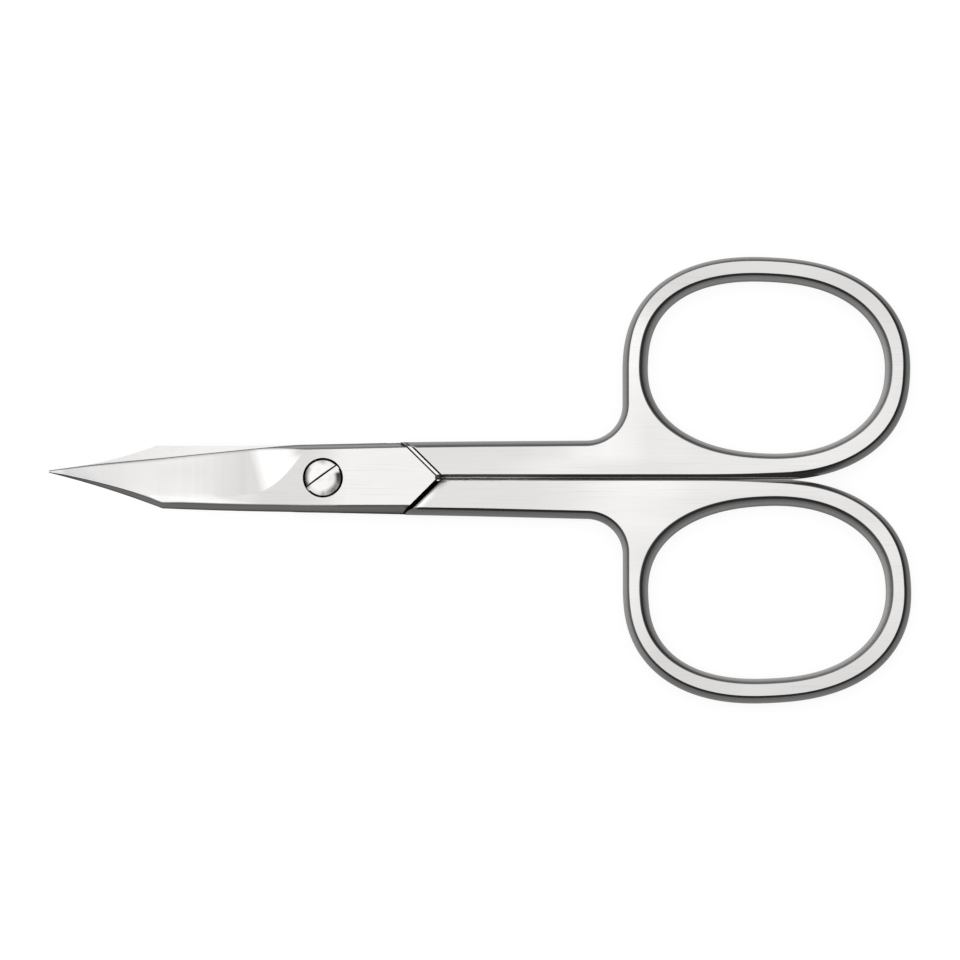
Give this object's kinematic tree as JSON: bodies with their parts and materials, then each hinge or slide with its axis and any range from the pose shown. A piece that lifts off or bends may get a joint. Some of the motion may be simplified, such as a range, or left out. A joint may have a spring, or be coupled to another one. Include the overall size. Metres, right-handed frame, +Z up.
{
  "type": "nail scissors",
  "caption": "Nail scissors with upward curved, ground blades, a slotted pivot screw and oval finger rings.",
  "frame": {"origin": "centre of the pivot screw's tail face, on the pivot axis and in the plane the scissors lie on", "axes": "+X from the pivot towards the finger rings, +Y towards the ring of the half under the screw head, +Z up the pivot axis towards the screw head"},
  "size_m": [0.0897, 0.0472, 0.0072],
  "materials": {
    "brushed_steel": "satin, finely brushed along the handles",
    "polished_steel": "polished, with light handling marks"
  },
  "bodies": {
    "lower_lever": {"lower_half": "brushed_steel", "pivot_screw": "polished_steel"},
    "upper_lever": {"upper_half": "brushed_steel"}
  },
  "joints": [
    {"name": "pivot", "type": "hinge", "parent": "lower_lever", "child": "upper_lever", "pos_m": [0, 0, 0.0015], "axis": [0, 0, 1], "range_deg": [0, 133]}
  ]
}
